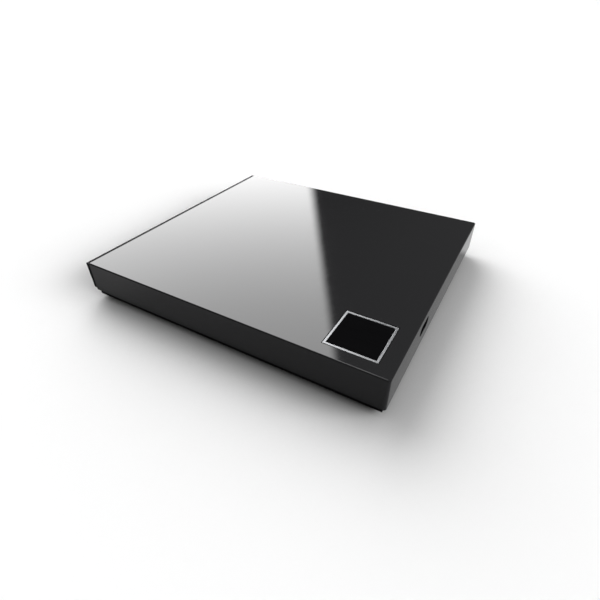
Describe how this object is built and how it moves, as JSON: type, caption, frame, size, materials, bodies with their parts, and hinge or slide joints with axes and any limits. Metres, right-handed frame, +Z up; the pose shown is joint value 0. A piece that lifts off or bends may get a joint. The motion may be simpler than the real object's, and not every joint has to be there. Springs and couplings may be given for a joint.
{
  "type": "external blu-ray drive",
  "caption": "Slim external tray-loading optical disc drive: glossy black case with a square framed badge, a small port at the rear and a sliding tray with pickup and spindle.",
  "frame": {"origin": "on the floor under the middle of the case", "axes": "+Z up, -Y the way the tray opens, +Y the rear with the port, +X the side with the badge"},
  "size_m": [0.141, 0.157, 0.0205],
  "materials": {
    "shell_gloss": "mirror-smooth black",
    "bezel_gloss": "mirror-smooth black",
    "base_black": "fine matt texture",
    "badge_silver": "satin",
    "badge_black": "glossy",
    "foot_rubber": "matt",
    "screw_steel": "plated",
    "foam_grey": "open foam",
    "board_green": "green board lacquer",
    "port_steel": "plated",
    "insulator_black": "moulded",
    "chip_black": "moulded",
    "can_alu": "smooth",
    "pan_steel": "pressed zinc-plated sheet",
    "rail_steel": "rolled",
    "tray_black": "fine matt texture",
    "plate_steel": "pressed sheet",
    "cover_black": "satin black",
    "frame_steel": "pressed sheet",
    "shaft_steel": "ground",
    "damper_rubber": "soft",
    "motor_steel": "drawn",
    "turntable_black": "satin black",
    "ring_rubber": "soft",
    "claw_white": "moulded",
    "sled_zinc": "cast",
    "follower_white": "moulded",
    "actuator_steel": "blackened",
    "holder_black": "moulded",
    "lens_glass": "coated",
    "lever_white": "moulded",
    "coil_copper": "wound coil in a steel frame",
    "button_black": "glossy",
    "pipe_clear": "clear",
    "switch_black": "moulded",
    "flex_amber": "polyimide film",
    "guide_black": "moulded",
    "spring_steel": "drawn wire"
  },
  "bodies": {
    "case": {"top_shell": "shell_gloss", "bottom_shell": "base_black", "badge_frame": "badge_silver", "badge_plate": "badge_black", "rubber_feet": "foot_rubber", "case_screws": "screw_steel", "foam_pads": "foam_grey", "bridge_board": "board_green", "bridge_screws": "screw_steel", "usb_port_shell": "port_steel", "usb_port_tongue": "insulator_black", "bridge_chips": "chip_black", "bridge_capacitors": "can_alu", "bridge_crystal": "can_alu", "bridge_socket": "insulator_black", "drive_chassis": "pan_steel", "drive_cover": "pan_steel", "chassis_screws": "screw_steel", "fixed_rails": "rail_steel", "connector_board": "board_green", "drive_plug": "insulator_black", "lock_pin": "screw_steel", "kickout_guide": "guide_black", "kickout_rod": "claw_white", "kickout_spring": "spring_steel", "tray_flex": "flex_amber"},
    "tray_assembly": {"tray": "tray_black", "bezel": "bezel_gloss", "light_pipe": "pipe_clear", "front_board": "board_green", "eject_switch": "switch_black", "tray_bottom_plate": "plate_steel", "tray_screws": "screw_steel", "main_board": "board_green", "main_chips": "chip_black", "mechanism_cover": "cover_black", "solenoid": "coil_copper", "traverse_frame": "frame_steel", "traverse_dampers": "damper_rubber", "shoulder_screws": "screw_steel", "guide_shafts": "shaft_steel", "spindle_base": "motor_steel", "stepper_motor": "motor_steel", "pickup_flex": "flex_amber"},
    "left_rail": {"slide_rail_left": "rail_steel"},
    "right_rail": {"slide_rail_right": "rail_steel"},
    "button": {"eject_button": "button_black"},
    "rotor": {"turntable": "turntable_black", "turntable_ring": "ring_rubber"},
    "claw_1": {"chuck_claw_1": "claw_white"},
    "claw_2": {"chuck_claw_2": "claw_white"},
    "claw_3": {"chuck_claw_3": "claw_white"},
    "screw": {"lead_screw": "shaft_steel"},
    "sled": {"pickup_sled": "sled_zinc", "screw_follower": "follower_white", "actuator_cover": "actuator_steel"},
    "lens_carrier": {"lens_holder": "holder_black", "lens": "lens_glass"},
    "lever": {"lock_lever": "lever_white"},
    "plunger": {"solenoid_plunger": "shaft_steel"}
  },
  "joints": [
    {"name": "tray_slide", "type": "slide", "parent": "case", "child": "tray_assembly", "axis": [0, -1, 0], "range_m": [0, 0.127], "deforming": ["tray_flex"]},
    {"name": "left_rail_slide", "type": "slide", "parent": "case", "child": "left_rail", "axis": [0, -1, 0], "range_m": [0, 0.0635]},
    {"name": "right_rail_slide", "type": "slide", "parent": "case", "child": "right_rail", "axis": [0, -1, 0], "range_m": [0, 0.0635]},
    {"name": "eject_press", "type": "slide", "parent": "tray_assembly", "child": "button", "axis": [0, 1, 0], "range_m": [0, 0.0004], "stiffness_N_per_m": 600, "springref_m": -0.0005},
    {"name": "disc_spin", "type": "hinge", "parent": "tray_assembly", "child": "rotor", "pos_m": [0, -0.0135, 0.0134], "axis": [0, 0, 1], "continuous": true},
    {"name": "claw_1_slide", "type": "slide", "parent": "rotor", "child": "claw_1", "axis": [0.6947, 0.7193, 0], "range_m": [0, 0.0005], "stiffness_N_per_m": 400, "springref_m": -0.0005},
    {"name": "claw_2_slide", "type": "slide", "parent": "rotor", "child": "claw_2", "axis": [-0.9703, 0.2419, 0], "range_m": [0, 0.0005], "stiffness_N_per_m": 400, "springref_m": -0.0005},
    {"name": "claw_3_slide", "type": "slide", "parent": "rotor", "child": "claw_3", "axis": [0.2756, -0.9613, 0], "range_m": [0, 0.0005], "stiffness_N_per_m": 400, "springref_m": -0.0005},
    {"name": "sled_slide", "type": "slide", "parent": "tray_assembly", "child": "sled", "axis": [-0.6947, -0.7193, 0], "range_m": [0, 0.036], "deforming": ["pickup_flex"]},
    {"name": "lead_screw_spin", "type": "hinge", "parent": "tray_assembly", "child": "screw", "pos_m": [-0.00696, -0.04849, 0.0094], "axis": [0.6947, 0.7193, 0], "range_deg": [0, 4320]},
    {"name": "lens_focus", "type": "slide", "parent": "sled", "child": "lens_carrier", "axis": [0, 0, 1], "range_m": [-0.0004, 0.0004], "stiffness_N_per_m": 60},
    {"name": "lever_swing", "type": "hinge", "parent": "tray_assembly", "child": "lever", "pos_m": [0.0385, -0.046, 0.008], "axis": [0, 0, 1], "range_deg": [0, 14]},
    {"name": "plunger_slide", "type": "slide", "parent": "tray_assembly", "child": "plunger", "axis": [1, 0, 0], "range_m": [0, 0.0017], "stiffness_N_per_m": 30, "springref_m": -0.001}
  ],
  "couplings": [
    {"joint": "left_rail_slide", "follows": "tray_slide", "ratio": 0.5},
    {"joint": "right_rail_slide", "follows": "tray_slide", "ratio": 0.5},
    {"joint": "lead_screw_spin", "follows": "sled_slide", "rad_per_m": 2094.4},
    {"joint": "lever_swing", "follows": "plunger_slide", "rad_per_m": 143}
  ]
}
